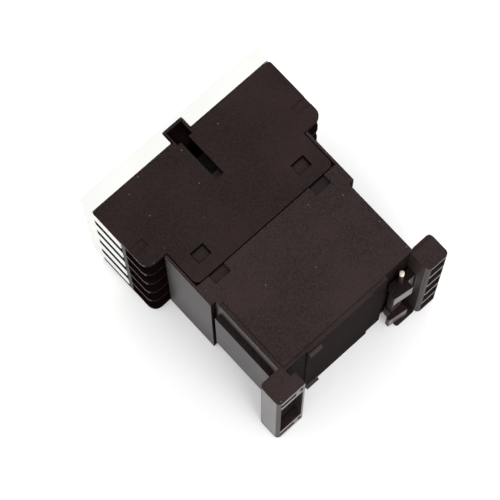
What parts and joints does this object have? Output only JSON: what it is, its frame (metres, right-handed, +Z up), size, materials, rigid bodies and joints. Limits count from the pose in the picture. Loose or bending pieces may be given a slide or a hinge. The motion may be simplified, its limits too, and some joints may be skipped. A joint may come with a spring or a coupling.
{
  "type": "din rail contactor",
  "caption": "Small electromagnetic contactor for a top-hat rail: white front, dark housings, screw terminals on two sides, rail hook and sprung latch at the rear.",
  "frame": {"origin": "middle of the bounding box in X and Y, on the surface that the contactor lies on", "axes": "+Z up through the module width, from one side face to the other; -Y out of the white front; +Y towards the rail; +X and -X out of the two terminal sides. On a vertical rail wall -Y faces the room and the module width runs along the rail."},
  "size_m": [0.058, 0.0704, 0.045],
  "materials": {
    "white_plastic": "fine satin moulded",
    "marker_plastic": "smooth",
    "dark_plastic": "spark-eroded moulded texture",
    "carrier_plastic": "moulded",
    "bobbin_plastic": "moulded",
    "steel": "zinc plated",
    "core_steel": "laminated electrical steel, ground pole faces",
    "brass": "silver plated",
    "copper": "bare or enamelled copper",
    "rubber": "moulded"
  },
  "bodies": {
    "housing": {"front_cover": "white_plastic", "marker_plate": "marker_plastic", "contact_housing": "dark_plastic", "base_housing": "dark_plastic", "latch_spring": "steel", "fixed_contact_p1": "brass", "fixed_contact_p2": "brass", "fixed_contact_p3": "brass", "fixed_contact_p4": "brass", "coil_terminal_p": "brass", "shading_ring_p": "copper", "return_spring_p": "steel", "fixed_contact_n1": "brass", "fixed_contact_n2": "brass", "fixed_contact_n3": "brass", "fixed_contact_n4": "brass", "coil_terminal_n": "brass", "shading_ring_n": "copper", "return_spring_n": "steel", "fixed_core": "core_steel", "core_buffer": "rubber", "coil_bobbin": "bobbin_plastic", "coil_winding": "copper"},
    "armature": {"contact_carrier": "carrier_plastic", "moving_core": "core_steel", "core_pin": "steel", "contact_spring_1": "steel", "contact_spring_2": "steel", "contact_spring_3": "steel", "contact_spring_4": "steel"},
    "latch": {"rail_latch": "dark_plastic"},
    "contact_bridge_1": {"contact_bridge_1": "copper"},
    "contact_bridge_2": {"contact_bridge_2": "copper"},
    "contact_bridge_3": {"contact_bridge_3": "copper"},
    "contact_bridge_4": {"contact_bridge_4": "copper"},
    "clamp_p1": {"clamp_plate_p1": "steel"},
    "screw_p1": {"terminal_screw_p1": "steel"},
    "clamp_p2": {"clamp_plate_p2": "steel"},
    "screw_p2": {"terminal_screw_p2": "steel"},
    "clamp_p3": {"clamp_plate_p3": "steel"},
    "screw_p3": {"terminal_screw_p3": "steel"},
    "clamp_p4": {"clamp_plate_p4": "steel"},
    "screw_p4": {"terminal_screw_p4": "steel"},
    "clamp_p5": {"clamp_plate_p5": "steel"},
    "screw_p5": {"terminal_screw_p5": "steel"},
    "clamp_n1": {"clamp_plate_n1": "steel"},
    "screw_n1": {"terminal_screw_n1": "steel"},
    "clamp_n2": {"clamp_plate_n2": "steel"},
    "screw_n2": {"terminal_screw_n2": "steel"},
    "clamp_n3": {"clamp_plate_n3": "steel"},
    "screw_n3": {"terminal_screw_n3": "steel"},
    "clamp_n4": {"clamp_plate_n4": "steel"},
    "screw_n4": {"terminal_screw_n4": "steel"},
    "clamp_n5": {"clamp_plate_n5": "steel"},
    "screw_n5": {"terminal_screw_n5": "steel"}
  },
  "joints": [
    {"name": "armature_slide", "type": "slide", "parent": "housing", "child": "armature", "axis": [0, 1, 0], "range_m": [0, 0.004], "stiffness_N_per_m": 500, "springref_m": -0.004, "deforming": ["return_spring_p", "return_spring_n"]},
    {"name": "latch_slide", "type": "slide", "parent": "housing", "child": "latch", "axis": [-1, 0, 0], "range_m": [0, 0.0022], "stiffness_N_per_m": 800, "springref_m": -0.002, "deforming": ["latch_spring"]},
    {"name": "contact_overtravel_1", "type": "slide", "parent": "armature", "child": "contact_bridge_1", "axis": [0, -1, 0], "range_m": [0, 0.0011], "deforming": ["contact_spring_1"]},
    {"name": "contact_overtravel_2", "type": "slide", "parent": "armature", "child": "contact_bridge_2", "axis": [0, -1, 0], "range_m": [0, 0.0011], "deforming": ["contact_spring_2"]},
    {"name": "contact_overtravel_3", "type": "slide", "parent": "armature", "child": "contact_bridge_3", "axis": [0, -1, 0], "range_m": [0, 0.0011], "deforming": ["contact_spring_3"]},
    {"name": "contact_overtravel_4", "type": "slide", "parent": "armature", "child": "contact_bridge_4", "axis": [0, -1, 0], "range_m": [0, 0.0011], "deforming": ["contact_spring_4"]},
    {"name": "screw_turn_p1", "type": "hinge", "parent": "clamp_p1", "child": "screw_p1", "pos_m": [0.0252, -0.0227, 0.0045], "axis": [0, 1, 0], "range_deg": [0, 2953]},
    {"name": "clamp_travel_p1", "type": "slide", "parent": "housing", "child": "clamp_p1", "axis": [0, 1, 0], "range_m": [0, 0.0041]},
    {"name": "screw_turn_p2", "type": "hinge", "parent": "clamp_p2", "child": "screw_p2", "pos_m": [0.0252, -0.0227, 0.0135], "axis": [0, 1, 0], "range_deg": [0, 2953]},
    {"name": "clamp_travel_p2", "type": "slide", "parent": "housing", "child": "clamp_p2", "axis": [0, 1, 0], "range_m": [0, 0.0041]},
    {"name": "screw_turn_p3", "type": "hinge", "parent": "clamp_p3", "child": "screw_p3", "pos_m": [0.0252, -0.0227, 0.0225], "axis": [0, 1, 0], "range_deg": [0, 2953]},
    {"name": "clamp_travel_p3", "type": "slide", "parent": "housing", "child": "clamp_p3", "axis": [0, 1, 0], "range_m": [0, 0.0041]},
    {"name": "screw_turn_p4", "type": "hinge", "parent": "clamp_p4", "child": "screw_p4", "pos_m": [0.0252, -0.0227, 0.0315], "axis": [0, 1, 0], "range_deg": [0, 2953]},
    {"name": "clamp_travel_p4", "type": "slide", "parent": "housing", "child": "clamp_p4", "axis": [0, 1, 0], "range_m": [0, 0.0041]},
    {"name": "screw_turn_p5", "type": "hinge", "parent": "clamp_p5", "child": "screw_p5", "pos_m": [0.0252, -0.0227, 0.0405], "axis": [0, 1, 0], "range_deg": [0, 2953]},
    {"name": "clamp_travel_p5", "type": "slide", "parent": "housing", "child": "clamp_p5", "axis": [0, 1, 0], "range_m": [0, 0.0041]},
    {"name": "screw_turn_n1", "type": "hinge", "parent": "clamp_n1", "child": "screw_n1", "pos_m": [-0.0252, -0.0227, 0.0045], "axis": [0, 1, 0], "range_deg": [0, 2953]},
    {"name": "clamp_travel_n1", "type": "slide", "parent": "housing", "child": "clamp_n1", "axis": [0, 1, 0], "range_m": [0, 0.0041]},
    {"name": "screw_turn_n2", "type": "hinge", "parent": "clamp_n2", "child": "screw_n2", "pos_m": [-0.0252, -0.0227, 0.0135], "axis": [0, 1, 0], "range_deg": [0, 2953]},
    {"name": "clamp_travel_n2", "type": "slide", "parent": "housing", "child": "clamp_n2", "axis": [0, 1, 0], "range_m": [0, 0.0041]},
    {"name": "screw_turn_n3", "type": "hinge", "parent": "clamp_n3", "child": "screw_n3", "pos_m": [-0.0252, -0.0227, 0.0225], "axis": [0, 1, 0], "range_deg": [0, 2953]},
    {"name": "clamp_travel_n3", "type": "slide", "parent": "housing", "child": "clamp_n3", "axis": [0, 1, 0], "range_m": [0, 0.0041]},
    {"name": "screw_turn_n4", "type": "hinge", "parent": "clamp_n4", "child": "screw_n4", "pos_m": [-0.0252, -0.0227, 0.0315], "axis": [0, 1, 0], "range_deg": [0, 2953]},
    {"name": "clamp_travel_n4", "type": "slide", "parent": "housing", "child": "clamp_n4", "axis": [0, 1, 0], "range_m": [0, 0.0041]},
    {"name": "screw_turn_n5", "type": "hinge", "parent": "clamp_n5", "child": "screw_n5", "pos_m": [-0.0252, -0.0227, 0.0405], "axis": [0, 1, 0], "range_deg": [0, 2953]},
    {"name": "clamp_travel_n5", "type": "slide", "parent": "housing", "child": "clamp_n5", "axis": [0, 1, 0], "range_m": [0, 0.0041]}
  ],
  "couplings": [
    {"joint": "contact_overtravel_1", "follows": "armature_slide", "ratio": 0.27},
    {"joint": "contact_overtravel_2", "follows": "armature_slide", "ratio": 0.27},
    {"joint": "contact_overtravel_3", "follows": "armature_slide", "ratio": 0.27},
    {"joint": "contact_overtravel_4", "follows": "armature_slide", "ratio": 0.27},
    {"joint": "screw_turn_p1", "follows": "clamp_travel_p1", "rad_per_m": 12566},
    {"joint": "screw_turn_p2", "follows": "clamp_travel_p2", "rad_per_m": 12566},
    {"joint": "screw_turn_p3", "follows": "clamp_travel_p3", "rad_per_m": 12566},
    {"joint": "screw_turn_p4", "follows": "clamp_travel_p4", "rad_per_m": 12566},
    {"joint": "screw_turn_p5", "follows": "clamp_travel_p5", "rad_per_m": 12566},
    {"joint": "screw_turn_n1", "follows": "clamp_travel_n1", "rad_per_m": 12566},
    {"joint": "screw_turn_n2", "follows": "clamp_travel_n2", "rad_per_m": 12566},
    {"joint": "screw_turn_n3", "follows": "clamp_travel_n3", "rad_per_m": 12566},
    {"joint": "screw_turn_n4", "follows": "clamp_travel_n4", "rad_per_m": 12566},
    {"joint": "screw_turn_n5", "follows": "clamp_travel_n5", "rad_per_m": 12566}
  ]
}
